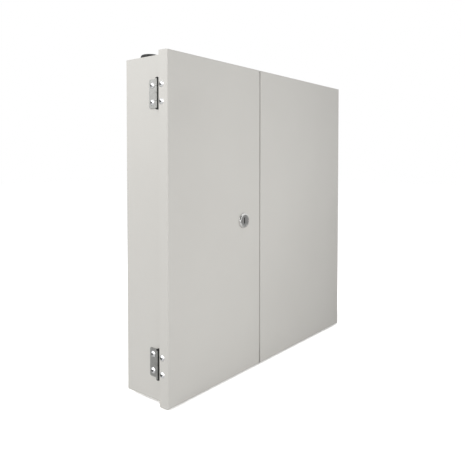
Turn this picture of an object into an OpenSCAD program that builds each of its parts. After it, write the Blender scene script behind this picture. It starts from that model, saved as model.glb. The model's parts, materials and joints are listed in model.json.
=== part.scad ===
// Wall-mounted steel enclosure with two unequal doors, for splicing and patching fibre cables.
// A folded cabinet stands against the wall (y = 0) and opens towards -y. Each door is a shallow
// pan that laps over the cabinet and turns on two butt hinges riveted to the cabinet's side.
// Behind the gap between the doors stands a partition that carries the adapter plate, the
// strike of the cam lock and the magnetic catches of the door that has no lock.
// x runs to the right, y into the wall and z up. The origin is the middle of the back face.

/* [Overall size] */
// Width over both doors
box_w = 400; // [370:5:480]
// Height over the doors
box_h = 400; // [392:4:480]
// Depth from the wall to the front of the doors
box_d = 75; // [72:1:90]
// Thickness of the folded sheet
sheet = 1.2; // [1:0.1:1.5]

/* [Cabinet] */
// Width of the lip round the front of the cabinet
lip_w = 13; // [9:0.5:16]
// Outer bend radius along the edges next to the wall
back_bend = 3; // [2.5:0.5:6]
// Outer bend radius along the edges of the lip
lip_bend = 1.8; // [1.6:0.1:2.5]
// Width of the slits where two lips meet
lip_slit = 0.6; // [0.4:0.1:1.5]
// Distance of the wall fixing holes from the cabinet's sides
wall_hole_side = 36; // [33:1:60]
// Distance of the wall fixing holes from the cabinet's top and bottom
wall_hole_end = 21; // [19:1:26]
// Radius of the wall fixing holes
wall_hole_r = 3.5; // [2.5:0.25:4.5]

/* [Doors] */
// Depth of the flanges that lap over the cabinet
door_flange = 14; // [11:0.5:16]
// Gap between those flanges and the cabinet's walls
flange_gap = 2.8; // [2.7:0.1:3.4]
// Gap between the cabinet's lip and the inside of the doors
door_clear = 0.8; // [0.6:0.1:2]
// Outer bend radius of the doors
door_bend = 1.8; // [1.6:0.1:2.4]
// Depth of the flange along the free edge of each door
edge_flange = 12; // [8:0.5:13]
// Length left off that flange at each end, where it would meet the cabinet's lip
edge_cutback = 18.5; // [18:0.5:24]
// Gap between the two doors
door_gap = 1.5; // [1:0.1:2.5]
// Distance of that gap's middle from the middle of the cabinet, to the left
seam_offset = 27.25; // [15:0.25:40]

/* [Hinges] */
// Distance of each hinge's middle from the top or bottom of the doors
hinge_end = 47.3; // [42:0.1:80]
// Height of a hinge
hinge_h = 33; // [30:1:44]
// Width of the cabinet's leaf, from the pin's axis to its free edge
cabinet_leaf_w = 15.2; // [14.5:0.1:16]
// Width of the door's leaf, from the pin's axis to its free edge
door_leaf_w = 12.5; // [12.2:0.1:13]
// Thickness of a leaf
leaf_t = 1; // [0.8:0.1:1.2]
// Outer radius of the knuckles
knuckle_r = 2.5; // [2.3:0.1:2.8]
// Gap between one knuckle and the next, and between a knuckle and the other leaf
knuckle_gap = 0.3; // [0.25:0.05:0.5]
// Gap between the knuckles and the edge of the door's flange
hinge_gap = 1.1; // [0.8:0.1:1.4]
// Radius of the hinge pin
pin_r = 1.3; // [1.1:0.05:1.4]
// Radius of the pin's upset ends
pin_head_r = 2.1; // [1.8:0.1:2.3]
// Length of each upset end
pin_head_h = 1.8; // [1:0.1:2.5]
// Radial running clearance of a turning piece in its bore
running = 0.05; // [0.03:0.01:0.1]

/* [Rivets] */
// Distance between the two rivets of a leaf
rivet_pitch = 19; // [17:0.5:21]
// Distance of the cabinet leaf's rivets from the pin
cabinet_rivet = 10; // [9:0.1:10.5]
// Distance of the door leaf's rivets from the pin
door_rivet = 8; // [7.6:0.1:8.4]
// Radius of the rivet's shank
rivet_r = 1.6; // [1.5:0.1:2]
// Radius of the rivet's domed head
rivet_head_r = 3.7; // [3.2:0.1:3.9]
// Height of the rivet's domed head
rivet_head_h = 1.9; // [1.4:0.1:2.1]
// Radius of the hole that the mandrel leaves in the head
mandrel_r = 1.1; // [0.8:0.1:1.3]
// Height of the rivet's upset tail
rivet_tail_h = 1.3; // [1:0.1:1.4]
// Clearance of a fixed fastener in its hole
hole_clear = 0.1; // [0.05:0.05:0.3]

/* [Lock] */
// Distance of the lock from the free edge of its door
lock_inset = 36.6; // [35:0.2:38]
// Radius of the lock's bezel
bezel_r = 10; // [9:0.5:12]
// Height of the bezel in front of the door
bezel_h = 3; // [2:0.25:4]
// Radius of the bezel's flat front
bezel_face_r = 7.5; // [7.3:0.1:8]
// Outer radius of the housing's threaded barrel
barrel_r = 8.5; // [8:0.25:9]
// Distance across the barrel's two flats
barrel_flats = 15; // [14:0.5:16]
// Depth of the lock behind the front of the door
lock_depth = 17; // [14:0.5:17]
// Radius of the plug that the key turns
plug_r = 6; // [5:0.25:6.5]
// Length of the key slot
key_slot_l = 8; // [6:0.5:9]
// Width of the key slot
key_slot_w = 2.8; // [1.5:0.1:3]
// Depth of the key slot
key_slot_d = 9; // [5:0.5:12]
// Side of the square that carries the cam
cam_square = 7; // [6:0.25:8]
// Reach of the cam from the lock's axis
cam_reach = 31.5; // [30.5:0.5:32]
// Width of the cam
cam_w = 12; // [10:0.5:13]
// Thickness of the cam
cam_t = 2; // [1.5:0.25:3]
// Play along the axis between the cam and the housing, and between the cam and its strike
cam_play = 0.5; // [0.4:0.1:1]
// Distance across the flats of the nut behind the door
lock_nut_flats = 22; // [21:0.5:24]
// Thickness of that nut
lock_nut_h = 4; // [3:0.25:5]

/* [Partition] */
// Width of the strike flange behind which the cam turns
strike_w = 16; // [12:0.5:18]
// Width of the flange welded to the back wall
foot_w = 14; // [10:1:20]
// Outer bend radius of the partition and the brackets
part_bend = 2; // [1.6:0.1:3]
// Gap between the partition's ends and the cabinet
part_gap = 0.6; // [0.4:0.1:1.5]
// Distance of the window's ends from the ends of the adapter plate
window_end = 11; // [9:0.5:13]
// Width of the window, from front to back
window_w = 24; // [20:1:28]
// Distance of the window's middle from the back face
window_y = 29; // [24:0.5:32]

/* [Adapter plate] */
// Distance of the plate's ends from the ends of the partition
plate_end = 6.4; // [4:0.2:9]
// Width of the plate, from front to back
plate_w = 36; // [34:0.5:38]
// Radius of the plate's corners
plate_corner = 3; // [1:0.5:5]
// Distance from one cut-out to the next
slot_pitch = 28.6; // [28:0.1:28.8]
// Height of a cut-out
slot_h = 26; // [20:0.5:26]
// Width of a cut-out, from front to back
slot_w = 9.6; // [8:0.2:13]
// Distance of the plate's fixing screws from its ends
plate_screw_end = 5.5; // [5:0.1:6]
// Distance between the plate's fixing screws from front to back
plate_screw_y = 24; // [20:0.5:26]

/* [Small screws and nuts] */
// Radius of the small screws
screw_r = 1.5; // [1.25:0.05:1.75]
// Radius of their heads
screw_head_r = 2.8; // [2.5:0.1:3]
// Height of their heads
screw_head_h = 1.8; // [1.4:0.1:2.4]
// Distance across the flats of their nuts
nut_flats = 5.5; // [5:0.1:6]
// Thickness of their nuts
nut_h = 2.4; // [2:0.1:3]

/* [Magnetic catches] */
// Distance of each catch's middle from the cabinet's top or bottom
catch_end = 91; // [75:1:110]
// Length of a catch's housing, without its ears
catch_l = 34; // [28:1:44]
// Width of the housing
catch_w = 13; // [11:0.5:16]
// Depth of the housing
catch_d = 11; // [9:0.5:12]
// Length of each fixing ear
ear_l = 9; // [8:0.5:12]
// Thickness of the ears
ear_t = 2.5; // [2:0.25:4]
// Gap between the housing and the door's free-edge flange
catch_side_gap = 1.6; // [1.4:0.1:3]
// Gap between the pole plates and the inside of the door
pole_gap = 0.4; // [0.3:0.1:0.8]
// Height of the pole plates in front of the housing
pole_rise = 0.6; // [0.4:0.1:1]
// Thickness of a pole plate
pole_t = 1.6; // [1:0.1:2]
// Thickness of the magnet between the pole plates
magnet_t = 4; // [3:0.25:5]

/* [Cable grommets] */
// Distance of a grommet's axis from the cabinet's side
grommet_side = 17; // [16:0.5:24]
// Distance of a grommet's axis from the back face
grommet_back = 25; // [18:0.5:30]
// Radius of the grommet's outer flange
grommet_r = 11.5; // [10.5:0.5:13]
// Height of the grommet outside the cabinet
grommet_h = 5.6; // [5:0.2:8]
// Radius of the hole in the sheet
grommet_hole_r = 8.5; // [8:0.25:9.5]
// Radius of the cable bore
cable_r = 4.5; // [3:0.25:6]
// Thickness of the grommet's inner flange
grommet_inner_t = 2.2; // [1.5:0.1:3]
// Rounding of the grommet's shoulders
grommet_round = 2.6; // [1.5:0.1:3]

/* [Splice tray] */
// Length of the tray
tray_l = 176; // [160:2:184]
// Height of the tray across its round ends
tray_h = 104; // [96:2:112]
// Depth of the tray's rim
tray_rim = 11; // [9:0.5:14]
// Wall thickness of the tray
tray_wall = 1.6; // [1.4:0.1:2.4]
// Distance of the tray's middle from the cabinet's right side
tray_side = 110; // [104:1:112]
// Distance of the tray's middle from the cabinet's top
tray_end = 134; // [116:1:146]
// Distance between the two studs that hold the tray
stud_pitch = 88; // [80:1:92]
// Radius of the winding drums
drum_r = 24; // [20:1:26]
// Length of the spacers behind the tray
spacer_l = 7; // [5:0.5:10]
// Outer radius of the spacers
spacer_r = 5; // [4.5:0.25:6]
// Radius of the tray's studs
stud_r = 2.5; // [2:0.25:3]
// Number of grooves in the splice holder
groove_count = 12; // [6:1:12]
// Distance from one groove to the next
groove_pitch = 4.2; // [4:0.1:4.6]
// Thickness of the lid
lid_t = 1.5; // [1:0.25:2]
// Number of fibre retaining tabs along each straight side of the tray
tab_count = 3; // [2:1:4]

/* [Cable clips and tie bars] */
// Inner radius of the cable clips
clip_r = 9; // [7:0.5:11]
// Wall of the cable clips
clip_wall = 1.6; // [1.2:0.1:2]
// Width of the cable clips
clip_w = 9; // [7:0.5:12]
// Mouth of the cable clips
clip_mouth = 5; // [4:0.5:8]
// Side of a clip's adhesive base
clip_base = 20; // [18:1:24]
// Length of a tie bar between its feet
bar_l = 38; // [34:1:46]
// Width of a tie bar
bar_w = 16; // [12:1:20]
// Rise of a tie bar off the back wall
bar_rise = 9; // [7:0.5:12]
// Length of a tie bar's feet
bar_foot = 9; // [7:0.5:12]
// Distance of the tie bars' middle from the cabinet's top or bottom
bar_end = 46; // [41:1:56]

/* [Earth stud] */
// Radius of the earth stud
earth_r = 3; // [2.5:0.25:4]
// Length of the earth stud in front of the back wall
earth_l = 22; // [18:1:28]
// Distance of the earth stud from the cabinet's right side
earth_side = 76; // [46:1:96]
// Distance of the earth stud from the cabinet's bottom
earth_end = 84; // [76:1:96]

/* [Hidden] */

$fn = 48;
eps = 0.01;

LIGHT_GREY = [0.81, 0.81, 0.79];
STEEL = [0.66, 0.67, 0.68];
CHROME = [0.80, 0.81, 0.82];
BLACK = [0.08, 0.08, 0.08];
WHITE = [0.92, 0.92, 0.90];

// Cabinet
lap = flange_gap + sheet;                          // how far a door stands out past the cabinet
cab_w = box_w - 2 * lap;
cab_h = box_h - 2 * lap;
cab_d = box_d - sheet - door_clear;
back_y = -sheet;                                   // front face of the back wall
wall_hole_x = cab_w / 2 - wall_hole_side;
wall_hole_z = cab_h / 2 - wall_hole_end;
door_inner_y = -(box_d - sheet);                   // inside of the doors' front sheet

// Doors
left_door_w = box_w / 2 - seam_offset - door_gap / 2;
right_door_w = box_w / 2 + seam_offset - door_gap / 2;

// Hinges
pin_x = cab_w / 2 + knuckle_r;
pin_y = -(box_d - door_flange - knuckle_r - hinge_gap);
hinge_offset = box_h / 2 - hinge_end;
knuckle_count = 4;
knuckle_pitch = hinge_h / knuckle_count;
bore_r = pin_r + running;
door_leaf_x = pin_x - (box_w / 2 - sheet);         // outer face of the door leaf, from the pin
leaf_corner = 2;
rivet_hole_r = rivet_r + hole_clear;
rivet_tail_r = rivet_r + 0.8;

// Lock
lock_x = -(seam_offset + door_gap / 2 + lock_inset);
lock_end_y = -(box_d - lock_depth);                // rear end of the housing's barrel
cam_y = lock_end_y + cam_play;                     // front face of the cam
plug_recess = 0.4;
collar_r = plug_r + 0.8;
collar_h = 1.6;
hub_r = cam_w / 2 + 1.5;

// Partition
web_x = -seam_offset - sheet / 2;                  // left face of the partition's web
strike_y = cam_y - cam_play - sheet;               // front face of the strike flange
part_h = cab_h - 2 * (back_bend + part_gap);
plate_h = part_h - 2 * plate_end;
plate_screw_z = plate_h / 2 - plate_screw_end;
window_h = plate_h - 2 * window_end;
slot_count = floor(window_h / slot_pitch);         // as many cut-outs as the window holds

// Magnetic catches
catch_x = -(seam_offset - door_gap / 2) + sheet + catch_side_gap;
catch_offset = cab_h / 2 - catch_end;
pole_y = door_inner_y + pole_gap;                  // front of the pole plates
catch_front_y = pole_y + pole_rise;
catch_back_y = catch_front_y + catch_d;            // seat on the bracket
catch_arm = catch_x + catch_w + 1 - (web_x + sheet);
catch_foot = 16;
catch_bracket_l = catch_l + 2 * ear_l + 2;
catch_screw_z = (catch_l + ear_l) / 2;

// Cable grommets
grommet_x = cab_w / 2 - grommet_side;

// Splice tray
tray_x = cab_w / 2 - tray_side;
tray_z = cab_h / 2 - tray_end;
tray_floor_y = back_y - spacer_l;                  // back of the tray's floor
lid_y = tray_floor_y - tray_rim;                   // back of the lid
tray_r = tray_h / 2;
tray_straight = tray_l - tray_h;
post_r = stud_r + 2.2;
stud_clear = 0.25;
stud_l = spacer_l + tray_rim + lid_t + 9;
tray_nut_h = 5;
tray_nut_r = 6;
tab_l = 8;
tab_w = 7;
port_w = 15;
holder_w = 36;
holder_h = 5.5;
holder_l = groove_count * groove_pitch + 4;

// Cable clips, on the back wall
clip_pad = 1.5;
clip_tray_gap = 40;
clip_left_x = -(seam_offset + cab_w / 2) / 2;
clip_left_z = [for (i = [-1, 0, 1]) i * (cab_h / 2 - bar_end) / 2];
clip_right_x = [for (i = [-1, 0, 1]) tray_x + i * (tray_side - bar_end)];
clip_right_z = tray_z - tray_h / 2 - clip_base / 2 - clip_tray_gap;

// Tie bars, on the back wall
bar_left_x = clip_left_x;
bar_right_x = tray_x;
bar_offset = cab_h / 2 - bar_end;

// Earth stud, on the back wall
earth_x = cab_w / 2 - earth_side;
earth_z = cab_h / 2 - earth_end;

/* ---------- Shared shapes ---------- */

// A folded sheet's outline seen along the fold: w wide, centred, from y = 0 to y = -d,
// with radius r_back on the corners at y = 0 and r_front on those at y = -d
module folded_outline(w, d, r_back, r_front) {
    translate([-w / 2 + r_back, -r_back]) square([w - 2 * r_back, r_back]);
    translate([-w / 2, -d + r_front]) square([w, d - r_back - r_front]);
    translate([-w / 2 + r_front, -d]) square([w - 2 * r_front, r_front + eps]);
    for (side = [-1, 1]) {
        translate([side * (w / 2 - r_back), -r_back]) circle(r = r_back);
        translate([side * (w / 2 - r_front), -d + r_front]) circle(r = r_front);
    }
}

// The solid that two folded outlines share: w wide, h high and d deep
module folded_block(w, h, d, r_back, r_front) {
    intersection() {
        translate([0, 0, -h / 2]) linear_extrude(h) folded_outline(w, d, r_back, r_front);
        rotate([0, -90, 0]) translate([0, 0, -w / 2])
            linear_extrude(w) folded_outline(h, d, r_back, r_front);
    }
}

// An angle of sheet t thick: outer corner at the origin, legs of a along +x and b along +y
module angle_outline(a, b, t, r) {
    translate([r, 0]) square([a - r, t]);
    translate([0, r]) square([t, b - r]);
    intersection() {
        square(r);
        difference() {
            translate([r, r]) circle(r = r);
            translate([r, r]) circle(r = r - t);
        }
    }
}

// A w by h rectangle with round corners, centred
module round_rect(w, h, r) {
    square([w - 2 * r, h], center = true);
    square([w, h - 2 * r], center = true);
    for (x = [-1, 1], y = [-1, 1])
        translate([x * (w / 2 - r), y * (h / 2 - r)]) circle(r = r);
}

// A slot outline of overall length l and height h, centred, with round ends
module stadium(l, h) {
    square([l - h, h], center = true);
    for (side = [-1, 1]) translate([side * (l - h) / 2, 0]) circle(d = h);
}

// A hole of radius r and length l along y, centred on the origin
module hole_y(r, l) {
    rotate([90, 0, 0]) cylinder(r = r, h = l, center = true);
}

// The same along x
module hole_x(r, l) {
    rotate([0, 90, 0]) cylinder(r = r, h = l, center = true);
}

// Copies to the left (-1) and right (+1) side of the cabinet: the children are drawn
// as they stand on the left
module on_side(side) {
    if (side < 0) children();
    else mirror([1, 0, 0]) children();
}

// A round-topped disc: radius r at its base, h high
module dome(r, h) {
    ball_r = (r * r + h * h) / (2 * h);
    intersection() {
        translate([0, 0, h - ball_r]) sphere(r = ball_r, $fn = 64);
        cylinder(r = r, h = h);
    }
}

// A hexagonal nut on the xy plane with a round hole and chamfered outer corners
module hex_nut(flats, h, hole_r) {
    corner_r = flats / 2 / cos(30);
    chamfer = corner_r - flats / 2;
    difference() {
        intersection() {
            cylinder(r = corner_r, h = h, $fn = 6);
            union() {
                cylinder(r = corner_r, h = h - chamfer);
                translate([0, 0, h - chamfer])
                    cylinder(r1 = corner_r, r2 = flats / 2, h = chamfer);
            }
        }
        translate([0, 0, -eps]) cylinder(r = hole_r, h = h + 2 * eps);
    }
}

// A small pan-head screw: the head on the xy plane, the shank l long below it
module pan_screw(l) {
    dome(screw_head_r, screw_head_h);
    translate([0, 0, -l]) cylinder(r = screw_r, h = l + eps);
}

/* ---------- Cabinet ---------- */

// The whole welded shell: back, sides, top, bottom and the lip round the front
module cabinet_shell() {
    difference() {
        folded_block(cab_w, cab_h, cab_d, back_bend, lip_bend);
        translate([0, back_y, 0])
            folded_block(cab_w - 2 * sheet, cab_h - 2 * sheet, cab_d - 2 * sheet,
                         back_bend - sheet, lip_bend - sheet);
        translate([0, -cab_d, 0])
            cube([cab_w - 2 * lip_w, 4 * sheet, cab_h - 2 * lip_w], center = true);
        lip_slits();
        for (x = [-1, 1], z = [-1, 1]) {
            translate([x * wall_hole_x, 0, z * wall_hole_z])
                hole_y(wall_hole_r, 4 * sheet);
            translate([x * cab_w / 2, pin_y + cabinet_rivet, z * hinge_offset])
                rivet_pair() hole_x(rivet_hole_r, 4 * sheet);
        }
        for (x = [-1, 1])
            translate([x * grommet_x, -grommet_back, cab_h / 2])
                cylinder(r = grommet_hole_r, h = 4 * sheet, center = true);
    }
}

// The room of the top plate with its lip, mitred against the sides and the back wall
module top_room() {
    top = cab_h / 2;
    intersection() {
        translate([0, 1, 0]) rotate([90, 0, 0]) linear_extrude(cab_d + 2)
            polygon([[-cab_w / 2 - 1, top + 1], [cab_w / 2 + 1, top + 1], [0, top - cab_w / 2]]);
        rotate([90, 0, 90]) translate([0, 0, -cab_w / 2 - 1]) linear_extrude(cab_w + 2)
            polygon([[1, top + 1], [-back_bend, top - back_bend],
                     [-back_bend, top - lip_w - 1], [-cab_d - 1, top - lip_w - 1],
                     [-cab_d - 1, top + 1]]);
    }
}

// Back wall and both sides, folded from one sheet
module cabinet_wrap() {
    color(LIGHT_GREY)
    difference() {
        cabinet_shell();
        top_room();
        mirror([0, 0, 1]) top_room();
    }
}

module cabinet_top() {
    color(LIGHT_GREY)
    intersection() {
        cabinet_shell();
        top_room();
    }
}

module cabinet_bottom() {
    color(LIGHT_GREY)
    intersection() {
        cabinet_shell();
        mirror([0, 0, 1]) top_room();
    }
}

// Slits at 45 degrees where the lips meet at the cabinet's corners
module lip_slits() {
    reach = lip_w * 1.5;
    for (x = [-1, 1], z = [-1, 1])
        translate([x * (cab_w / 2 - lip_w), -cab_d, z * (cab_h / 2 - lip_w)])
            rotate([0, -45 * x * z, 0])
                translate([x > 0 ? -1 : 1 - reach, -sheet - eps, -lip_slit / 2])
                    cube([reach, 2 * sheet + 2 * eps, lip_slit]);
}

/* ---------- Hinges ---------- */

// Two copies, above and below a hinge's middle
module rivet_pair() {
    for (z = [-1, 1]) translate([0, 0, z * rivet_pitch / 2]) children();
}

// To a hinge's pin on the left side: row is +1 for the upper hinge and -1 for the lower
module at_hinge(side, row) {
    on_side(side) translate([-pin_x, pin_y, row * hinge_offset]) children();
}

// The knuckles of one leaf: first is 0 for the top one, and every second one belongs to it
module knuckles(first) {
    for (k = [first : 2 : knuckle_count - 1])
        translate([0, 0, hinge_h / 2 - (k + 1) * knuckle_pitch + knuckle_gap / 2])
            cylinder(r = knuckle_r, h = knuckle_pitch - knuckle_gap);
}

// What a leaf leaves free for the other leaf's knuckles
module knuckle_room(first) {
    room = 2 * (knuckle_r + knuckle_gap);
    for (k = [first : 2 : knuckle_count - 1])
        translate([0, 0, hinge_h / 2 - (k + 0.5) * knuckle_pitch])
            cube([3 * room, room, knuckle_pitch + knuckle_gap], center = true);
}

// A leaf's plate from the pin out to +y, w wide, with its two outer corners round
module leaf_plate(x, w) {
    translate([x, 0, 0])
    rotate([0, 90, 0])
    linear_extrude(leaf_t) {
        translate([-hinge_h / 2 + knuckle_gap / 2, 0])
            square([hinge_h - knuckle_gap, w - leaf_corner]);
        translate([-hinge_h / 2 + leaf_corner, 0])
            square([hinge_h - 2 * leaf_corner, w]);
        for (z = [-1, 1])
            translate([z * (hinge_h / 2 - leaf_corner - knuckle_gap / 2), w - leaf_corner])
                circle(r = leaf_corner);
    }
}

// The leaf on the cabinet's wall, about the pin's axis
module cabinet_leaf() {
    color(STEEL)
    difference() {
        union() {
            difference() {
                leaf_plate(knuckle_r - leaf_t, cabinet_leaf_w);
                knuckle_room(1);
            }
            knuckles(0);
        }
        cylinder(r = bore_r, h = hinge_h + 2, center = true);
        translate([knuckle_r, cabinet_rivet, 0]) rivet_pair() hole_x(rivet_hole_r, 4 * leaf_t);
    }
}

// The leaf inside the door's flange, about the pin's axis
module door_leaf() {
    color(STEEL)
    difference() {
        union() {
            difference() {
                mirror([0, 1, 0]) leaf_plate(door_leaf_x, door_leaf_w);
                knuckle_room(0);
            }
            knuckles(1);
        }
        cylinder(r = bore_r, h = hinge_h + 2, center = true);
        translate([0, -door_rivet, 0]) rivet_pair() hole_x(rivet_hole_r, 6 * leaf_t);
    }
}

// The pin, upset at both ends
module hinge_pin() {
    color(BLACK)
    union() {
        cylinder(r = pin_r, h = hinge_h + eps, center = true);
        for (end = [-1, 1])
            scale([1, 1, end]) translate([0, 0, hinge_h / 2]) {
                cylinder(r = pin_head_r, h = pin_head_h / 2);
                translate([0, 0, pin_head_h / 2]) dome(pin_head_r, pin_head_h / 2);
            }
    }
}

// A blind rivet along x: its head's seat is at x = 0 with the head on the -x side, and its
// tail is upset behind a grip of the given thickness
module rivet(grip) {
    rotate([0, -90, 0])
    difference() {
        union() {
            dome(rivet_head_r, rivet_head_h);
            translate([0, 0, -grip - rivet_tail_h])
                cylinder(r = rivet_r, h = grip + rivet_tail_h + eps);
            translate([0, 0, -grip - rivet_tail_h]) cylinder(r = rivet_tail_r, h = rivet_tail_h);
        }
        translate([0, 0, rivet_head_h / 3]) cylinder(r = mandrel_r, h = rivet_head_h);
    }
}

module cabinet_rivets(side) {
    color(STEEL)
    for (row = [-1, 1])
        at_hinge(side, row)
            translate([knuckle_r - leaf_t, cabinet_rivet, 0]) rivet_pair() rivet(leaf_t + sheet);
}

module door_rivets(side) {
    color(STEEL)
    for (row = [-1, 1])
        at_hinge(side, row)
            translate([door_leaf_x - sheet, -door_rivet, 0]) rivet_pair() rivet(sheet + leaf_t);
}

/* ---------- Doors ---------- */

// A door's pan, drawn as the left door: its hinge side at x = 0, its front at y = 0
module door_pan(w) {
    inner_w = w - 2 * sheet;
    inner_h = box_h - 2 * sheet;
    difference() {
        translate([w / 2, door_flange, 0])
            folded_block(w, box_h, door_flange, eps, door_bend);
        translate([w / 2, door_flange + eps, 0])
            folded_block(inner_w, inner_h, door_flange - sheet + eps, eps, door_bend - sheet);
        translate([w - 2 * sheet, edge_flange, -inner_h / 2])
            cube([3 * sheet, door_flange, inner_h]);
        for (end = [-1, 1])
            translate([w - sheet, sheet + door_flange / 2 + eps, end * (box_h - edge_cutback) / 2])
                cube([2 * sheet + eps, door_flange, edge_cutback - 2 * sheet], center = true);
    }
}

module left_door_panel() {
    color(LIGHT_GREY)
    difference() {
        translate([-box_w / 2, -box_d, 0]) door_pan(left_door_w);
        translate([lock_x, -box_d, 0]) lock_hole();
        for (row = [-1, 1]) at_hinge(-1, row) door_leaf_holes();
    }
}

module right_door_panel() {
    color(LIGHT_GREY)
    difference() {
        on_side(1) translate([-box_w / 2, -box_d, 0]) door_pan(right_door_w);
        for (row = [-1, 1]) at_hinge(1, row) door_leaf_holes();
    }
}

// The holes in a door's flange for its leaf's rivets
module door_leaf_holes() {
    translate([door_leaf_x - sheet, -door_rivet, 0]) rivet_pair() hole_x(rivet_hole_r, 4 * sheet);
}

/* ---------- Lock ---------- */

// The barrel's outline: a circle with two flats, grown by the given clearance
module barrel_outline(grow) {
    intersection() {
        circle(r = barrel_r + grow);
        square([2 * barrel_r + 2, barrel_flats + 2 * grow], center = true);
    }
}

// The hole in the door that the barrel's flats fit
module lock_hole() {
    rotate([90, 0, 0]) linear_extrude(6 * sheet, center = true) barrel_outline(hole_clear);
}

// The lock's pieces are drawn with the axis along z, the front of the door at z = 0 and the
// outside towards +z, and then turned so that +z points to the front
module at_lock() {
    translate([lock_x, -box_d, 0]) rotate([90, 0, 0]) children();
}

module lock_housing() {
    color(CHROME)
    at_lock()
    difference() {
        union() {
            bezel();
            translate([0, 0, -lock_depth]) linear_extrude(lock_depth + eps) barrel_outline(0);
        }
        translate([0, 0, -lock_depth - eps])
            cylinder(r = plug_r + running, h = lock_depth + bezel_h + 1);
        translate([0, 0, bezel_h - plug_recess - collar_h])
            cylinder(r = collar_r + running, h = collar_h + 1);
    }
}

// The bezel: a low disc whose edge rounds over to its flat front
module bezel() {
    round_r = bezel_r - bezel_face_r;
    rotate_extrude($fn = 96) {
        square([bezel_r, bezel_h - round_r]);
        square([bezel_face_r, bezel_h]);
        intersection() {
            translate([bezel_face_r, bezel_h - round_r]) circle(r = round_r);
            translate([bezel_face_r - eps, bezel_h - round_r - eps]) square(round_r + 2 * eps);
        }
    }
}

module lock_nut() {
    color(STEEL)
    at_lock()
    translate([0, 0, -sheet]) rotate([180, 0, 0])
    hex_nut(lock_nut_flats, lock_nut_h, barrel_r + hole_clear);
}

module lock_plug() {
    color(CHROME)
    at_lock()
    difference() {
        union() {
            translate([0, 0, -lock_depth - cam_play])
                cylinder(r = plug_r, h = lock_depth + cam_play + bezel_h - plug_recess);
            translate([0, 0, bezel_h - plug_recess - collar_h + running])
                cylinder(r = collar_r, h = collar_h - running);
            translate([-cam_square / 2, -cam_square / 2, -lock_depth - cam_play - cam_t])
                cube([cam_square, cam_square, cam_t + eps]);
        }
        translate([-key_slot_w / 2, -key_slot_l / 2, bezel_h - plug_recess - key_slot_d])
            cube([key_slot_w, key_slot_l, key_slot_d + 1]);
        translate([0, 0, -lock_depth - cam_play - cam_t - eps])
            cylinder(r = screw_r + hole_clear, h = 5);
    }
}

// The cam points down while the lock is open
module lock_cam() {
    color(STEEL)
    at_lock()
    translate([0, 0, -lock_depth - cam_play - cam_t])
    linear_extrude(cam_t)
    difference() {
        union() {
            circle(r = hub_r);
            translate([-cam_w / 2, -cam_reach + cam_w / 2]) square([cam_w, cam_reach - cam_w / 2]);
            translate([0, -cam_reach + cam_w / 2]) circle(d = cam_w);
        }
        square(cam_square + 2 * hole_clear, center = true);
    }
}

module lock_cam_screw() {
    color(STEEL)
    at_lock()
    translate([0, 0, -lock_depth - cam_play - cam_t]) rotate([180, 0, 0]) {
        cylinder(r = cam_square / 2 + 1.2, h = 0.8);
        translate([0, 0, 0.8]) dome(screw_head_r + 0.4, screw_head_h);
        translate([0, 0, -4]) cylinder(r = screw_r, h = 4 + eps);
    }
}

/* ---------- Partition and adapter plate ---------- */

module partition() {
    color(LIGHT_GREY)
    difference() {
        translate([0, 0, -part_h / 2]) linear_extrude(part_h) partition_outline();
        translate([web_x, -window_y, 0]) cube([6 * sheet, window_w, window_h], center = true);
        plate_screws_at() hole_x(screw_r + hole_clear, 6 * sheet);
    }
}

// Seen from above: the foot to the right on the back wall, the web, and the strike to the left
module partition_outline() {
    middle_y = (back_y + strike_y) / 2;
    translate([web_x, back_y]) mirror([0, 1])
        angle_outline(foot_w, back_y - middle_y + eps, sheet, part_bend);
    translate([web_x + sheet, strike_y]) mirror([1, 0])
        angle_outline(strike_w, middle_y - strike_y + eps, sheet, part_bend);
}

// To the four fixing screws of the adapter plate, on the left face of the partition
module plate_screws_at() {
    for (y = [-1, 1], z = [-1, 1])
        translate([web_x, -window_y + y * plate_screw_y / 2, z * plate_screw_z]) children();
}

module adapter_plate() {
    color(STEEL)
    difference() {
        translate([web_x - sheet, -window_y, 0])
            rotate([0, 90, 0]) linear_extrude(sheet) round_rect(plate_h, plate_w, plate_corner);
        for (i = [0 : slot_count - 1])
            translate([web_x, -window_y, (i - (slot_count - 1) / 2) * slot_pitch])
                cube([6 * sheet, slot_w, slot_h], center = true);
        plate_screws_at() hole_x(screw_r + hole_clear, 6 * sheet);
    }
}

module adapter_plate_screws() {
    color(STEEL)
    plate_screws_at()
        translate([-sheet, 0, 0]) rotate([0, -90, 0]) pan_screw(2 * sheet + nut_h + 1);
}

module adapter_plate_nuts() {
    color(STEEL)
    plate_screws_at()
        translate([sheet, 0, 0]) rotate([0, 90, 0]) hex_nut(nut_flats, nut_h, screw_r + hole_clear);
}

/* ---------- Magnetic catches ---------- */

module at_catch(row) {
    translate([0, 0, row * catch_offset]) children();
}

// An angle welded to the partition's web, whose arm carries the catch
module catch_bracket(row) {
    color(LIGHT_GREY)
    at_catch(row)
    difference() {
        translate([web_x + sheet, catch_back_y, -catch_bracket_l / 2])
            linear_extrude(catch_bracket_l)
                angle_outline(catch_arm, catch_foot, sheet, part_bend);
        catch_screws_at() hole_y(screw_r + hole_clear, 4 * sheet);
    }
}

// To the two screws of a catch, on the front face of its bracket
module catch_screws_at() {
    for (z = [-1, 1])
        translate([catch_x + catch_w / 2, catch_back_y, z * catch_screw_z]) children();
}

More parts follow.
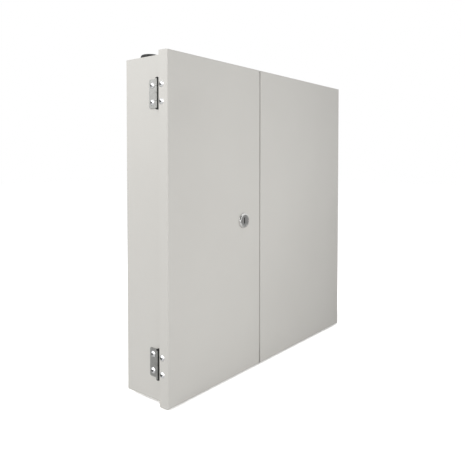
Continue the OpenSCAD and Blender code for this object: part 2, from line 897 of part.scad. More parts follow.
module catch_housing(row) {
    color(WHITE)
    at_catch(row)
    difference() {
        union() {
            translate([catch_x, catch_front_y, -catch_l / 2]) cube([catch_w, catch_d, catch_l]);
            translate([catch_x, catch_back_y - ear_t, -catch_l / 2 - ear_l])
                cube([catch_w, ear_t, catch_l + 2 * ear_l]);
        }
        catch_screws_at() hole_y(screw_r + hole_clear, 4 * ear_t);
        translate([catch_x + catch_w / 2, catch_front_y, 0])
            cube([magnet_t + 2 * pole_t + 2 * hole_clear, 2 * magnet_depth(),
                  catch_l - 4 + 2 * hole_clear], center = true);
    }
}

// How far the magnet and its pole plates reach into the housing
function magnet_depth() = catch_d - 3;

module catch_magnets() {
    color(BLACK)
    for (row = [-1, 1])
        at_catch(row)
            translate([catch_x + catch_w / 2 - magnet_t / 2, catch_front_y, -(catch_l - 4) / 2])
                cube([magnet_t, magnet_depth(), catch_l - 4]);
}

module catch_pole_plates() {
    color(STEEL)
    for (row = [-1, 1], side = [-1, 1])
        at_catch(row)
            translate([catch_x + catch_w / 2 + side * (magnet_t + pole_t) / 2 - pole_t / 2,
                       pole_y, -(catch_l - 4) / 2])
                cube([pole_t, pole_rise + magnet_depth(), catch_l - 4]);
}

module catch_screws() {
    color(STEEL)
    for (row = [-1, 1])
        at_catch(row)
            catch_screws_at() translate([0, -ear_t, 0]) rotate([90, 0, 0]) pan_screw(ear_t + sheet + 2);
}

/* ---------- Cable grommets ---------- */

// x is -1 for left and +1 for right
module grommet(x) {
    color(BLACK)
    translate([x * grommet_x, -grommet_back, cab_h / 2])
    rotate_extrude($fn = 72)
    difference() {
        union() {
            square([grommet_r, grommet_h - grommet_round]);
            square([grommet_r - grommet_round, grommet_h]);
            translate([grommet_r - grommet_round, grommet_h - grommet_round])
                circle(r = grommet_round);
            translate([0, -sheet - eps]) square([grommet_hole_r - hole_clear, sheet + 2 * eps]);
            translate([0, -sheet - grommet_inner_t])
                square([grommet_hole_r + 1.6, grommet_inner_t]);
        }
        translate([-1, -grommet_h]) square([cable_r + 1, 3 * grommet_h]);
    }
}

/* ---------- Splice tray ---------- */

// The tray's pieces are drawn with the tray's middle at the origin, the back of the floor at
// z = 0 and the front towards +z, and then turned against the back wall
module at_tray(y) {
    translate([tray_x, y, tray_z]) rotate([90, 0, 0]) children();
}

module at_studs() {
    for (side = [-1, 1]) translate([side * stud_pitch / 2, 0, 0]) children();
}

module splice_tray() {
    color(BLACK)
    at_tray(tray_floor_y)
    difference() {
        union() {
            linear_extrude(tray_wall) stadium(tray_l, tray_h);
            tray_rim_wall();
            at_studs() drum();
            tray_tabs();
        }
        at_studs() translate([0, 0, -1]) cylinder(r = stud_r + stud_clear, h = tray_rim + 2);
    }
}

// The rim, open where the fibres enter at the four ends of the straight sides
module tray_rim_wall() {
    difference() {
        linear_extrude(tray_rim)
            difference() {
                stadium(tray_l, tray_h);
                stadium(tray_l - 2 * tray_wall, tray_h - 2 * tray_wall);
            }
        for (x = [-1, 1], y = [-1, 1])
            translate([x * (tray_straight / 2 + port_w / 2 + 4), y * tray_r, tray_rim / 2 + tray_wall])
                cube([port_w, tray_r / 2, tray_rim], center = true);
    }
}

// A winding drum with a post round the stud
module drum() {
    difference() {
        cylinder(r = drum_r, h = tray_rim);
        translate([0, 0, tray_wall]) cylinder(r = drum_r - tray_wall, h = tray_rim);
    }
    cylinder(r = post_r, h = tray_rim);
}

// Tabs along the straight sides that keep the fibres under the rim
module tray_tabs() {
    for (i = [0 : tab_count - 1], y = [-1, 1])
        translate([(i - (tab_count - 1) / 2) * (tray_straight - tab_l) / (tab_count - 1),
                   y * (tray_r - tab_w / 2), tray_rim - tray_wall / 2])
            cube([tab_l, tab_w, tray_wall], center = true);
}

// A comb whose grooves hold the splice sleeves, between the drums
module splice_holder() {
    color(WHITE)
    at_tray(tray_floor_y - tray_wall)
    difference() {
        translate([-holder_w / 2, -holder_l / 2, 0]) cube([holder_w, holder_l, holder_h]);
        for (i = [0 : groove_count - 1])
            translate([0, (i - (groove_count - 1) / 2) * groove_pitch, holder_h])
                rotate([0, 90, 0]) cylinder(r = groove_pitch * 0.36, h = holder_w + 2, center = true);
    }
}

module splice_tray_lid() {
    color([0.75, 0.82, 0.86, 0.4])
    at_tray(lid_y)
    difference() {
        linear_extrude(lid_t) stadium(tray_l, tray_h);
        at_studs() translate([0, 0, -1]) cylinder(r = stud_r + stud_clear, h = lid_t + 2);
    }
}

module tray_studs() {
    color(STEEL)
    at_tray(back_y) at_studs() cylinder(r = stud_r, h = stud_l);
}

module tray_spacers() {
    color(WHITE)
    at_tray(back_y) at_studs()
    difference() {
        cylinder(r = spacer_r, h = spacer_l);
        translate([0, 0, -1]) cylinder(r = stud_r + hole_clear, h = spacer_l + 2);
    }
}

module tray_nuts() {
    color(CHROME)
    at_tray(lid_y - lid_t) at_studs()
    difference() {
        union() {
            cylinder(r = tray_nut_r, h = tray_nut_h - 2);
            cylinder(r = tray_nut_r - 1.8, h = tray_nut_h);
        }
        translate([0, 0, -1]) cylinder(r = stud_r + hole_clear, h = tray_nut_h + 2);
    }
}

/* ---------- Cable clips and tie bars ---------- */

// A C-shaped clip on an adhesive base, open to the front, for a cable along z
module cable_clip() {
    ring_y = -clip_pad - clip_r - clip_wall;
    translate([0, -clip_pad / 2, 0]) cube([clip_base, clip_pad, clip_base], center = true);
    translate([0, 0, -clip_w / 2])
    linear_extrude(clip_w)
    difference() {
        union() {
            translate([0, ring_y]) circle(r = clip_r + clip_wall);
            translate([-clip_r / 2, -clip_pad - clip_wall]) square([clip_r, clip_wall + eps]);
        }
        translate([0, ring_y]) circle(r = clip_r);
        translate([-clip_mouth / 2, ring_y - 2 * clip_r]) square([clip_mouth, 2 * clip_r]);
    }
}

module cable_clips_left() {
    color(BLACK)
    for (z = clip_left_z) translate([clip_left_x, back_y, z]) cable_clip();
}

module cable_clips_right() {
    color(BLACK)
    for (x = clip_right_x)
        translate([x, back_y, clip_right_z]) rotate([0, 90, 0]) cable_clip();
}

// A bridge of sheet welded to the back wall, with slots for cable ties
module tie_bar(x, z) {
    slot_l = bar_w - 7;
    color(LIGHT_GREY)
    translate([x, back_y, z * bar_offset])
    difference() {
        translate([0, 0, -bar_w / 2]) linear_extrude(bar_w) {
            translate([-bar_l / 2, -bar_rise]) square([bar_l, sheet]);
            for (side = [-1, 1]) {
                translate([side * (bar_l - sheet) / 2 - sheet / 2, -bar_rise]) square([sheet, bar_rise]);
                translate([side * (bar_l + bar_foot - sheet) / 2 - bar_foot / 2, -sheet])
                    square([bar_foot, sheet]);
            }
        }
        for (i = [-1 : 1])
            translate([i * bar_l / 4, -bar_rise, 0]) cube([3, 4 * sheet, slot_l], center = true);
    }
}

/* ---------- Earth stud ---------- */

module at_earth(y) {
    translate([earth_x, y, -earth_z]) rotate([90, 0, 0]) children();
}

module earth_stud() {
    color(STEEL)
    at_earth(back_y) {
        cylinder(r = earth_r + 2, h = 1);
        cylinder(r = earth_r, h = earth_l);
    }
}

module earth_washer() {
    color(STEEL)
    at_earth(back_y - 1)
    difference() {
        cylinder(r = 2 * earth_r, h = sheet);
        translate([0, 0, -1]) cylinder(r = earth_r + hole_clear, h = 2 * sheet + 2);
    }
}

module earth_nut() {
    color(STEEL)
    at_earth(back_y - 1 - sheet) hex_nut(3.4 * earth_r, 1.6 * earth_r, earth_r + hole_clear);
}

cabinet_wrap();
cabinet_top();
cabinet_bottom();
partition();
adapter_plate();
adapter_plate_screws();
adapter_plate_nuts();
catch_bracket(1);  // catch_bracket_upper
catch_bracket(-1);  // catch_bracket_lower
catch_housing(1);  // catch_housing_upper
catch_housing(-1);  // catch_housing_lower
catch_magnets();
catch_pole_plates();
catch_screws();
grommet(-1);  // grommet_top_left
grommet(1);  // grommet_top_right
at_hinge(-1, 1) cabinet_leaf();  // hinge_leaf_cabinet_upper_left
at_hinge(-1, -1) cabinet_leaf();  // hinge_leaf_cabinet_lower_left
at_hinge(1, 1) cabinet_leaf();  // hinge_leaf_cabinet_upper_right
at_hinge(1, -1) cabinet_leaf();  // hinge_leaf_cabinet_lower_right
at_hinge(-1, 1) hinge_pin();  // hinge_pin_upper_left
at_hinge(-1, -1) hinge_pin();  // hinge_pin_lower_left
at_hinge(1, 1) hinge_pin();  // hinge_pin_upper_right
at_hinge(1, -1) hinge_pin();  // hinge_pin_lower_right
cabinet_rivets(-1);  // rivets_cabinet_left
cabinet_rivets(1);  // rivets_cabinet_right
splice_tray();
splice_holder();
splice_tray_lid();
tray_studs();
tray_spacers();
tray_nuts();
cable_clips_left();
cable_clips_right();
tie_bar(bar_left_x, 1);  // tie_bar_top_left
tie_bar(bar_right_x, 1);  // tie_bar_top_right
tie_bar(bar_left_x, -1);  // tie_bar_bottom_left
tie_bar(bar_right_x, -1);  // tie_bar_bottom_right
earth_stud();
earth_washer();
earth_nut();
left_door_panel();
at_hinge(-1, 1) door_leaf();  // hinge_leaf_door_upper_left
at_hinge(-1, -1) door_leaf();  // hinge_leaf_door_lower_left
door_rivets(-1);  // rivets_door_left
lock_housing();
lock_nut();
lock_plug();
lock_cam();
lock_cam_screw();
right_door_panel();
at_hinge(1, 1) door_leaf();  // hinge_leaf_door_upper_right
at_hinge(1, -1) door_leaf();  // hinge_leaf_door_lower_right
door_rivets(1);  // rivets_door_right
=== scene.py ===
import bpy
import json
import math
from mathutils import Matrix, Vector

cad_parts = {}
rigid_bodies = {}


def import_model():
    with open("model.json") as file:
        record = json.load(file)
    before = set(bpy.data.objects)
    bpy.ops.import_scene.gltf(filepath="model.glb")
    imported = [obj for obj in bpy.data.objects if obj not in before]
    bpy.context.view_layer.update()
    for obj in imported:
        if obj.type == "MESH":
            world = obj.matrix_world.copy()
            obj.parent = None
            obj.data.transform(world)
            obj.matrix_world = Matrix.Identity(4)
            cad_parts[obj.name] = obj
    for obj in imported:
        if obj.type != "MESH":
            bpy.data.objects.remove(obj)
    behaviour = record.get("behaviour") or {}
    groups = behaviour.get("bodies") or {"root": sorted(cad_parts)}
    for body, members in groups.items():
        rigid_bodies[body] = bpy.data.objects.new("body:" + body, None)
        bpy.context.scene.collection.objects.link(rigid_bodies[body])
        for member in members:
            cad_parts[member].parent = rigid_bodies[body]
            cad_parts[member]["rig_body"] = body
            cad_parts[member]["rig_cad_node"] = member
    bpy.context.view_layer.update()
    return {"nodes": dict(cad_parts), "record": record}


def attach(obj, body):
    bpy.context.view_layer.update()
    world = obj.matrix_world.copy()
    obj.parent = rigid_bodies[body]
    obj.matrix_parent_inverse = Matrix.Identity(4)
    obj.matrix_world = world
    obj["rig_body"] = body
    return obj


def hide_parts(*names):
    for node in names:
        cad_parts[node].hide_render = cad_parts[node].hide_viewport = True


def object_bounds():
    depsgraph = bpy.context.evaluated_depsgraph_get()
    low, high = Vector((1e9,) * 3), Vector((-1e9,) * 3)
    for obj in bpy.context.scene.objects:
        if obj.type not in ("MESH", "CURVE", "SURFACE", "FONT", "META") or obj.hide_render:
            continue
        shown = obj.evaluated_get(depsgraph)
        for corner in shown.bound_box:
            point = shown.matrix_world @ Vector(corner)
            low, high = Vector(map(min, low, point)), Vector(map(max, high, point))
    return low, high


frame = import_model()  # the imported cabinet, doors and lock, in metres
print("stage: frame loaded")

mm = 0.001


def deselectAll():
    bpy.ops.object.select_all(action="DESELECT")


def makeActive(piece):
    deselectAll()
    piece.select_set(True)
    bpy.context.view_layer.objects.active = piece


def applyModifier(piece, kind, **settings):
    makeActive(piece)
    mod = piece.modifiers.new(kind.title(), kind)
    for key, value in settings.items():
        setattr(mod, key, value)
    bpy.ops.object.modifier_apply(modifier=mod.name)


def linear(hexCode):  # sRGB hex to linear
    parts = [int(hexCode[i:i + 2], 16) / 255 for i in (1, 3, 5)]
    return [c / 12.92 if c <= 0.04045 else ((c + 0.055) / 1.055) ** 2.4 for c in parts] + [1.0]


def addNode(tree, kind, inputs=None, links=None, **settings):
    node = tree.nodes.new(kind)
    for key, value in settings.items():
        setattr(node, key, value)
    for key, value in (inputs or {}).items():
        node.inputs[key].default_value = value
    for key, source in (links or {}).items():
        tree.links.new(source, node.inputs[key])
    return node


def newMaterial(name, hexCode, **sockets):
    material = bpy.data.materials.new(name)
    material.use_nodes = True
    tree = material.node_tree
    shader = tree.nodes["Principled BSDF"]
    shader.inputs["Base Color"].default_value = linear(hexCode)
    for key, value in sockets.items():
        shader.inputs[key.replace("_", " ")].default_value = value
    place = addNode(tree, "ShaderNodeTexCoord")
    return material, tree, shader, place.outputs["Object"]


def plainMaterial(name):
    # an empty material for the stage, with the output that takes its surface
    material = bpy.data.materials.new(name)
    material.use_nodes = True
    tree = material.node_tree
    tree.nodes.remove(tree.nodes["Principled BSDF"])
    return material, tree, tree.nodes["Material Output"].inputs["Surface"]


def noiseOfSize(tree, place, sizeMm, detail):
    noise = addNode(tree, "ShaderNodeTexNoise", {"Scale": 1 / (sizeMm * mm), "Detail": detail},
                    {"Vector": place})
    return noise.outputs["Fac"]


def colourDrift(tree, shader, place, low, high, sizeMm, detail=3.0):
    # base colour that wanders between two hex values over patches of a real size
    drift = {"from": 0.3, "to": 0.7}  # the part of the noise that the two colours span
    noise = noiseOfSize(tree, place, sizeMm, detail)
    ramp = addNode(tree, "ShaderNodeValToRGB", None, {"Fac": noise})
    for stop, position, colour in zip(ramp.color_ramp.elements, drift.values(), (low, high)):
        stop.position = position
        stop.color = linear(colour)
    tree.links.new(ramp.outputs["Color"], shader.inputs["Base Color"])
    return noise


def roughnessDrift(tree, shader, source, smoothest, roughest):
    rough = addNode(tree, "ShaderNodeMapRange", {"To Min": smoothest, "To Max": roughest},
                    {"Value": source})
    tree.links.new(rough.outputs["Result"], shader.inputs["Roughness"])


def surfaceBump(tree, shader, height, strength, depthMm):
    bump = addNode(tree, "ShaderNodeBump", {"Strength": strength, "Distance": depthMm * mm},
                   {"Height": height})
    tree.links.new(bump.outputs["Normal"], shader.inputs["Normal"])


def powderCoat():
    # polyester powder on steel, light grey: satin, with a faint orange peel from the oven
    look = {"base": "#D1CFCA", "shade": "#CECCC7", "patchMm": 120, "roughness": 0.42,
            "smoothest": 0.38, "roughest": 0.48, "peelMm": 2.2, "grainMm": 0.8, "grainShare": 0.35,
            "bump": 0.12, "bumpMm": 0.06}
    material, tree, shader, place = newMaterial("powderCoatLightGrey", look["base"],
                                                Roughness=look["roughness"])
    colourDrift(tree, shader, place, look["shade"], look["base"], look["patchMm"])
    peel = noiseOfSize(tree, place, look["peelMm"], 2.0)
    grain = noiseOfSize(tree, place, look["grainMm"], 1.0)
    both = addNode(tree, "ShaderNodeMath", {1: look["grainShare"]}, {0: grain, 2: peel},
                   operation="MULTIPLY_ADD")
    surfaceBump(tree, shader, both.outputs[0], look["bump"], look["bumpMm"])
    roughnessDrift(tree, shader, peel, look["smoothest"], look["roughest"])
    return material


def zincPlate():
    # zinc-plated stampings: a dull grey metal with small cloudy crystals, and a painted shade: a
    # dark line down the front of the hinge knuckles, where the gap by the door flange lies in
    # shadow
    look = {"pale": "#A3A3A1", "dark": "#92928F", "crystalMm": 2.5, "crystalDetail": 4.0,
            "roughness": 0.5, "smoothest": 0.44, "roughest": 0.58, "bump": 0.08, "bumpMm": 0.02,
            "knuckleShade": "#323230", "knuckleShadeFromMm": -58.0, "knuckleShadeFullMm": -59.2, "knuckleShadeEndMm": -60.2}
    material, tree, shader, place = newMaterial("dullZincPlate", look["pale"], Metallic=1.0,
                                                Roughness=look["roughness"])
    noise = colourDrift(tree, shader, place, look["dark"], look["pale"], look["crystalMm"],
                        look["crystalDetail"])
    bare = shader.inputs["Base Color"].links[0].from_socket
    axes = addNode(tree, "ShaderNodeSeparateXYZ", None, {"Vector": place})
    # painted shade: darkening from Y -58 mm, full by -59.2 mm and ending at -60.2 mm, in front of
    # the knuckles
    start = addNode(tree, "ShaderNodeMapRange",
                    {"From Min": look["knuckleShadeFromMm"] * mm, "From Max": look["knuckleShadeFullMm"] * mm},
                    {"Value": axes.outputs["Y"]})
    before = addNode(tree, "ShaderNodeMath", {1: look["knuckleShadeEndMm"] * mm}, {0: axes.outputs["Y"]},
                     operation="GREATER_THAN")
    line = addNode(tree, "ShaderNodeMath", None, {0: start.outputs["Result"], 1: before.outputs[0]},
                   operation="MULTIPLY")
    knuckleShaded = addNode(tree, "ShaderNodeMixRGB", {"Color2": linear(look["knuckleShade"])},
                      {"Fac": line.outputs[0], "Color1": bare})
    tree.links.new(knuckleShaded.outputs["Color"], shader.inputs["Base Color"])
    roughnessDrift(tree, shader, noise, look["smoothest"], look["roughest"])
    surfaceBump(tree, shader, noise, look["bump"], look["bumpMm"])
    return material


def rivetAluminium():
    # drawn aluminium heads of blind rivets: bright, and a little worn
    look = {"base": "#EDEDEE", "worn": "#DCDDDE", "patchMm": 1.5, "roughness": 0.22,
            "smoothest": 0.12, "roughest": 0.24, "bump": 0.1, "bumpMm": 0.02}
    material, tree, shader, place = newMaterial("formedAluminium", look["base"], Metallic=1.0,
                                                Roughness=look["roughness"])
    noise = colourDrift(tree, shader, place, look["worn"], look["base"], look["patchMm"])
    roughnessDrift(tree, shader, noise, look["smoothest"], look["roughest"])
    surfaceBump(tree, shader, noise, look["bump"], look["bumpMm"])
    return material


def chromePlate():
    # chrome over die-cast zinc: a mirror with the faint waviness of the casting
    look = {"base": "#DADAD8", "waveMm": 4, "roughness": 0.08, "smoothest": 0.05, "roughest": 0.13,
            "bump": 0.06, "bumpMm": 0.03}
    material, tree, shader, place = newMaterial("chromePlate", look["base"], Metallic=1.0,
                                                Roughness=look["roughness"])
    noise = noiseOfSize(tree, place, look["waveMm"], 2.0)
    roughnessDrift(tree, shader, noise, look["smoothest"], look["roughest"])
    surfaceBump(tree, shader, noise, look["bump"], look["bumpMm"])
    return material


def blackenedSteel():
    # phosphated steel: nearly black, dull metal
    look = {"base": "#121212", "dark": "#0E0E0E", "pale": "#181818", "patchMm": 1.5,
            "metallic": 0.3, "roughness": 0.55}
    material, tree, shader, place = newMaterial("phosphatedSteel", look["base"],
                                                Metallic=look["metallic"],
                                                Roughness=look["roughness"])
    colourDrift(tree, shader, place, look["dark"], look["pale"], look["patchMm"])
    return material


def blackRubber():
    # moulded chloroprene grommet: deep black, dull, with a fine bloom
    look = {"base": "#0D0E0F", "dark": "#0A0B0C", "pale": "#121314", "patchMm": 2.5,
            "roughness": 0.68, "bump": 0.2, "bumpMm": 0.05}
    material, tree, shader, place = newMaterial("mouldedRubber", look["base"],
                                                Roughness=look["roughness"])
    noise = colourDrift(tree, shader, place, look["dark"], look["pale"], look["patchMm"])
    surfaceBump(tree, shader, noise, look["bump"], look["bumpMm"])
    return material


def mouldedPlastic(name, dark, light, roughness):
    # injection-moulded ABS: an even colour with the fine grain of the tool
    look = {"patchMm": 15, "grainMm": 0.6, "bump": 0.15, "bumpMm": 0.04}
    material, tree, shader, place = newMaterial(name, light, Roughness=roughness)
    colourDrift(tree, shader, place, dark, light, look["patchMm"])
    grain = noiseOfSize(tree, place, look["grainMm"], 1.0)
    surfaceBump(tree, shader, grain, look["bump"], look["bumpMm"])
    return material


def clearPolycarbonate():
    # thin clear sheet: mostly see-through, with a bluish tint and a glossy face
    look = {"tint": "#DCE6EC", "roughness": 0.06, "clear": 0.85, "alpha": 0.55, "ior": 1.585,
            "patchMm": 20, "smoothest": 0.04, "roughest": 0.10}
    material, tree, shader, place = newMaterial("clearPolycarbonate", look["tint"],
                                                Roughness=look["roughness"],
                                                Transmission_Weight=look["clear"],
                                                Alpha=look["alpha"], IOR=look["ior"])
    noise = noiseOfSize(tree, place, look["patchMm"], 1.0)
    roughnessDrift(tree, shader, noise, look["smoothest"], look["roughest"])
    return material


def ferriteBlock():
    # sintered ferrite: dark grey and chalky
    look = {"base": "#2C2C2E", "dark": "#252527", "pale": "#343436", "patchMm": 1.2,
            "roughness": 0.7, "bump": 0.25, "bumpMm": 0.05}
    material, tree, shader, place = newMaterial("sinteredFerrite", look["base"],
                                                Roughness=look["roughness"])
    noise = colourDrift(tree, shader, place, look["dark"], look["pale"], look["patchMm"])
    surfaceBump(tree, shader, noise, look["bump"], look["bumpMm"])
    return material


def turnedBrass():
    # turned brass: warm metal with fine lathe marks
    look = {"base": "#C9A352", "dark": "#B9923F", "pale": "#D4B062", "patchMm": 2.0,
            "roughness": 0.3, "bump": 0.1, "bumpMm": 0.03}
    material, tree, shader, place = newMaterial("turnedBrass", look["base"], Metallic=1.0,
                                                Roughness=look["roughness"])
    noise = colourDrift(tree, shader, place, look["dark"], look["pale"], look["patchMm"])
    surfaceBump(tree, shader, noise, look["bump"], look["bumpMm"])
    return material


finishes = {
    "grey_powder_coat": powderCoat(),
    "zinc_steel": zincPlate(),
    "rivet_aluminium": rivetAluminium(),
    "chrome": chromePlate(),
    "black_steel": blackenedSteel(),
    "black_rubber": blackRubber(),
    "black_plastic": mouldedPlastic("mouldedBlackAbs", "#1D1E20", "#26272A", 0.5),
    "white_plastic": mouldedPlastic("mouldedWhiteAbs", "#DEDDD8", "#E6E5E1", 0.45),
    "clear_plastic": clearPolycarbonate(),
    "ferrite": ferriteBlock(),
    "knurled_nuts": turnedBrass(),
}
slotOf = {part["node"]: part["material_slot"] for part in frame["record"]["subparts"]}
bodyOf = {n: b for b, nodes in frame["record"]["behaviour"]["bodies"].items() for n in nodes}
print("stage: materials made")

edges = {  # how far each kind of piece's edges are rounded, in mm
    "sheet": 0.35,
    "hinge": 0.18,
    "moulded": 0.4,
    "small": 0.15,
    "bezel": 0.3,
}
edgeOf = {
    "cabinet_wrap": "sheet", "cabinet_top": "sheet", "cabinet_bottom": "sheet",
    "left_door_panel": "sheet", "right_door_panel": "sheet",
    "partition": "sheet", "adapter_plate": "sheet",
    "splice_tray": "moulded", "splice_holder": "moulded", "splice_tray_lid": "small",
    "cable_clips_left": "moulded", "cable_clips_right": "moulded",
    "catch_housing_upper": "moulded", "catch_housing_lower": "moulded",
    "lock_housing": "bezel",
}
rounding = {"segments": 2, "bevelFromDegrees": 40, "smoothBelowDegrees": 35, "normalWeight": 50,
            "mergeMm": 0.002, "flatWithinDegrees": 0.5}


def edgeKind(node):
    if node in edgeOf:
        return edgeOf[node]
    if node.startswith(("tie_bar", "catch_bracket")):
        return "sheet"
    if node.startswith("hinge"):
        return "hinge"
    if node.startswith("grommet"):
        return "moulded"
    return "small"


def roundEdges(piece, widthMm):
    applyModifier(piece, "BEVEL", width=widthMm * mm, segments=rounding["segments"],
                  limit_method="ANGLE", angle_limit=math.radians(rounding["bevelFromDegrees"]))
    makeActive(piece)
    bpy.ops.object.shade_smooth_by_angle(angle=math.radians(rounding["smoothBelowDegrees"]))


def finishedCopy(node):
    # a merged copy of the CAD node with its flat faces joined up and its edges rounded
    source = frame["nodes"][node]
    piece = source.copy()
    piece.data = source.data.copy()
    piece.name = node + "_finished"
    piece.parent = None
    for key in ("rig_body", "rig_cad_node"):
        if key in piece:
            del piece[key]
    bpy.context.scene.collection.objects.link(piece)
    makeActive(piece)
    bpy.ops.object.mode_set(mode="EDIT")
    bpy.ops.mesh.select_all(action="SELECT")
    bpy.ops.mesh.remove_doubles(threshold=rounding["mergeMm"] * mm)
    bpy.ops.mesh.dissolve_limited(angle_limit=math.radians(rounding["flatWithinDegrees"]),
                                  delimit=set())
    bpy.ops.object.mode_set(mode="OBJECT")
    roundEdges(piece, edges[edgeKind(node)])
    applyModifier(piece, "WEIGHTED_NORMAL", weight=rounding["normalWeight"], keep_sharp=True)
    piece.data.materials.clear()
    piece.data.materials.append(finishes[slotOf[node]])
    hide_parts(node)
    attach(piece, bodyOf[node])


for nodeName in sorted(frame["nodes"]):
    finishedCopy(nodeName)
print("stage: pieces finished")


def mandrelStubAndHoleShade(name, place, outward, stub):
    # the broken-off end of a blind rivet's mandrel, left in the hole of its head; near-black and
    # just proud of the crown, it is also a painted shade for the dark hole
    deselectAll()
    bpy.ops.mesh.primitive_cylinder_add(vertices=stub["sides"], radius=stub["radius"] * mm,
                                        depth=stub["length"] * mm, location=(0, 0, 0))
    piece = bpy.context.object
    piece.name = name
    roundEdges(piece, stub["edge"])
    piece.rotation_euler = (0, math.radians(90), 0)
    inwards = (stub["below"] + stub["length"] / 2) * mm
    piece.location = (place[0] - outward * inwards, place[1], place[2])
    return piece


def worldCorners(node):
    source = frame["nodes"][node]
    return [source.matrix_world @ v.co for v in source.data.vertices]


def makeMandrelsAndHoleShades(node):
    # one stub in each of the node's four heads, joined into one piece
    stub = {"radius": 1.4, "length": 1.0, "below": -0.06, "edge": 0.15, "sides": 24}  # mm
    flatTopMm = 0.05  # how near to its crown a corner lies to count as the head's top
    outward = -1 if node.endswith("left") else 1
    corners = worldCorners(node)
    crown = max(c.x * outward for c in corners) * outward
    tops = [c for c in corners if abs(c.x - crown) < flatTopMm * mm]
    piece = None
    for high in (1, -1):
        for outer in (1, -1):
            near = [c for c in tops if c.z * high > 0]
            middle = (max(c.z for c in near) + min(c.z for c in near)) / 2
            head = [c for c in near if (c.z - middle) * outer > 0]
            place = (crown, sum(c.y for c in head) / len(head), sum(c.z for c in head) / len(head))
            made = mandrelStubAndHoleShade(node.replace("rivets", "mandrels_and_hole_shade"), place, outward, stub)
            if piece:
                made.select_set(True)
                piece.select_set(True)
                bpy.context.view_layer.objects.active = piece
                bpy.ops.object.join()
            else:
                piece = made
    makeActive(piece)
    bpy.ops.object.transform_apply(location=True, rotation=True, scale=True)
    # painted shade: the stubs' near-black stands for the shadow in the rivet holes
    piece.data.materials.append(finishes["black_steel"])
    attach(piece, bodyOf[node])


for nodeName in ("rivets_cabinet_left", "rivets_cabinet_right",
                 "rivets_door_left", "rivets_door_right"):
    makeMandrelsAndHoleShades(nodeName)
print("stage: rivet mandrels_and_hole_shade made")


def makeWardsAndKeywayShade():
    # the wards inside the plug's key slot: a block made near-black, as painted shade for the
    # keyway's depth
    keyway = {"wide": 2.7, "tall": 7.9, "deep": 5.0, "below": 0.9, "edge": 0.1}  # mm
    corners = worldCorners("lock_plug")
    face = min(c.y for c in corners)
    centre = (max(c.x for c in corners) + min(c.x for c in corners)) / 2
    deselectAll()
    bpy.ops.mesh.primitive_cube_add(size=1, location=(0, 0, 0))
    piece = bpy.context.object
    piece.name = "lock_wards_and_keyway_shade"
    piece.scale = (keyway["wide"] * mm, keyway["deep"] * mm, keyway["tall"] * mm)
    piece.location = (centre, face + (keyway["below"] + keyway["deep"] / 2) * mm, 0)
    bpy.ops.object.transform_apply(location=True, rotation=False, scale=True)
    applyModifier(piece, "BEVEL", width=keyway["edge"] * mm, segments=2)
    # painted shade: near-black steel, so that the keyway reads dark
    piece.data.materials.append(finishes["black_steel"])
    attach(piece, bodyOf["lock_plug"])


makeWardsAndKeywayShade()
print("stage: keyway made")


def makeFloor():
    # a pale floor just under the doors; the camera alone sees its paint brighter than white, so
    # that it runs into the white background
    look = {"sizeM": 12.0, "gapMm": 2.5, "paint": "#E2E2E2", "seenGain": 2.5, "seenGlow": 0.06}
    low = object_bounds()[0]
    deselectAll()
    bpy.ops.mesh.primitive_plane_add(size=look["sizeM"],
                                     location=(0, 0, low[2] - look["gapMm"] * mm))
    floor = bpy.context.object
    floor.name = "paleFloor"
    material, tree, surface = plainMaterial("paleFloor")
    rays = addNode(tree, "ShaderNodeLightPath")
    paint = addNode(tree, "ShaderNodeBsdfDiffuse", {"Color": linear(look["paint"])})
    seenPaint = addNode(tree, "ShaderNodeBsdfDiffuse", {"Color": [look["seenGain"]] * 3 + [1]})
    glow = addNode(tree, "ShaderNodeEmission",
                   {"Color": (1, 1, 1, 1), "Strength": look["seenGlow"]})
    seen = addNode(tree, "ShaderNodeAddShader", None, {0: seenPaint.outputs[0], 1: glow.outputs[0]})
    mix = addNode(tree, "ShaderNodeMixShader", None,
                  {"Fac": rays.outputs["Is Camera Ray"], 1: paint.outputs[0], 2: seen.outputs[0]})
    tree.links.new(mix.outputs[0], surface)
    floor.data.materials.append(material)


def makeWorld():
    # even pale light from all round; seen directly, in metal or through clear parts it is white
    look = {"strength": 0.378, "colour": "#FFFFFF"}
    world = bpy.data.worlds.new("studio")
    bpy.context.scene.world = world
    world.use_nodes = True
    tree = world.node_tree
    background = tree.nodes["Background"]
    background.inputs["Color"].default_value = linear(look["colour"])
    background.inputs["Strength"].default_value = look["strength"]
    white = addNode(tree, "ShaderNodeBackground", {"Color": (1, 1, 1, 1), "Strength": 1.0})
    rays = addNode(tree, "ShaderNodeLightPath")
    cameraOrMetal = addNode(tree, "ShaderNodeMath", None,
                            {0: rays.outputs["Is Camera Ray"], 1: rays.outputs["Is Glossy Ray"]},
                            operation="MAXIMUM")
    sees = addNode(tree, "ShaderNodeMath", None,
                   {0: cameraOrMetal.outputs[0], 1: rays.outputs["Is Transmission Ray"]},
                   operation="MAXIMUM")
    mix = addNode(tree, "ShaderNodeMixShader", None,
                  {"Fac": sees.outputs[0], 1: background.outputs[0], 2: white.outputs[0]})
    tree.links.new(mix.outputs[0], tree.nodes["World Output"].inputs["Surface"])


def aimedAt(target, place, axis):
    return (Vector(target) - Vector(place)).to_track_quat(axis, "Y").to_euler()


def makeLamp(name, look):
    deselectAll()
    bpy.ops.object.light_add(type="AREA", location=look["place"])
    lamp = bpy.context.object
    lamp.name = name
    lamp.data.shape = "RECTANGLE"
    lamp.data.size, lamp.data.size_y = look["size"]
    lamp.data.energy = look["watts"]
    lamp.rotation_euler = aimedAt(look["target"], look["place"], "-Z")
    lamp.visible_glossy = look["reflected"]


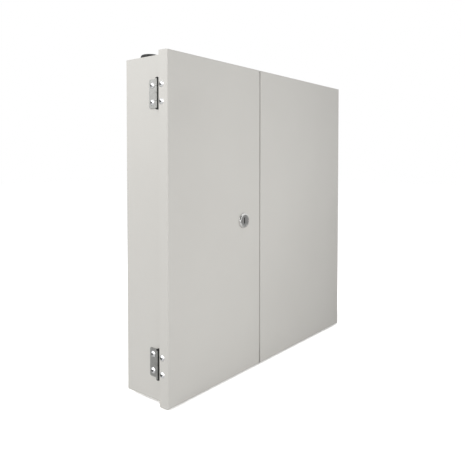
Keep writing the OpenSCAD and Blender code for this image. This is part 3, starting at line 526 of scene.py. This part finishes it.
def makeCard(name, look):
    # a flat card that is seen in reflections only: a white one glows, a black one doesn't
    deselectAll()
    bpy.ops.mesh.primitive_plane_add(size=1, location=(0, 0, 0))
    card = bpy.context.object
    card.name = name
    card.scale = (*look["size"], 1)
    bpy.ops.object.transform_apply(location=False, rotation=False, scale=True)
    card.location = look["place"]
    card.rotation_euler = aimedAt(look["target"], look["place"], "Z")
    material, tree, surface = plainMaterial(name)
    light = addNode(tree, "ShaderNodeEmission", {"Color": (1, 1, 1, 1), "Strength": look["glow"]})
    tree.links.new(light.outputs[0], surface)
    material.cycles.emission_sampling = "NONE"
    card.data.materials.append(material)
    card.visible_camera = card.visible_diffuse = False
    card.visible_transmission = card.visible_shadow = False


def makeCamera():
    view = {"place": (-0.5978, -0.4887, 0.0756), "lens": 40.14, "sensor": 36.0, "clipStart": 0.01,
            "turn": 52.153, "down": 1.543, "roll": -0.054, "shiftX": -0.0227, "shiftY": -0.1205}
    data = bpy.data.cameras.new("camera")
    camera = bpy.data.objects.new("camera", data)
    bpy.context.scene.collection.objects.link(camera)
    camera.location = view["place"]
    camera.rotation_euler = (math.radians(90 - view["down"]), math.radians(view["roll"]),
                             math.radians(-view["turn"]))
    data.lens = view["lens"]
    data.sensor_width = view["sensor"]
    data.shift_x = view["shiftX"]
    data.shift_y = view["shiftY"]
    data.clip_start = view["clipStart"]
    bpy.context.scene.camera = camera


lamps = {
    "sideSoftbox": {"place": (-1.28, 0.35, 0.68), "target": (-0.2, 0, 0), "size": (0.9, 0.9),
                    "watts": 12.6, "reflected": True},
    "frontSoftbox": {"place": (-0.105, -0.65, 0.07), "target": (-0.09, -0.07, 0.03),
                     "size": (0.35, 0.35), "watts": 1.74, "reflected": False},
}
cards = {
    "tallWhiteCard": {"place": (-0.95, -1.15, 0.15), "target": (-0.1, 0, 0), "size": (1.5, 1.8),
                      "glow": 2.6},
    "blackCard": {"place": (-0.14, -0.18, 0.083), "target": (-0.065, -0.078, 0.0),
                  "size": (0.14, 0.2), "glow": 0.0},
}
makeFloor()
makeWorld()
for lampName, lampLook in lamps.items():
    makeLamp(lampName, lampLook)
for cardName, cardLook in cards.items():
    makeCard(cardName, cardLook)
makeCamera()
bpy.context.scene.view_settings.view_transform = "Standard"
print("stage: floor, light and camera made")
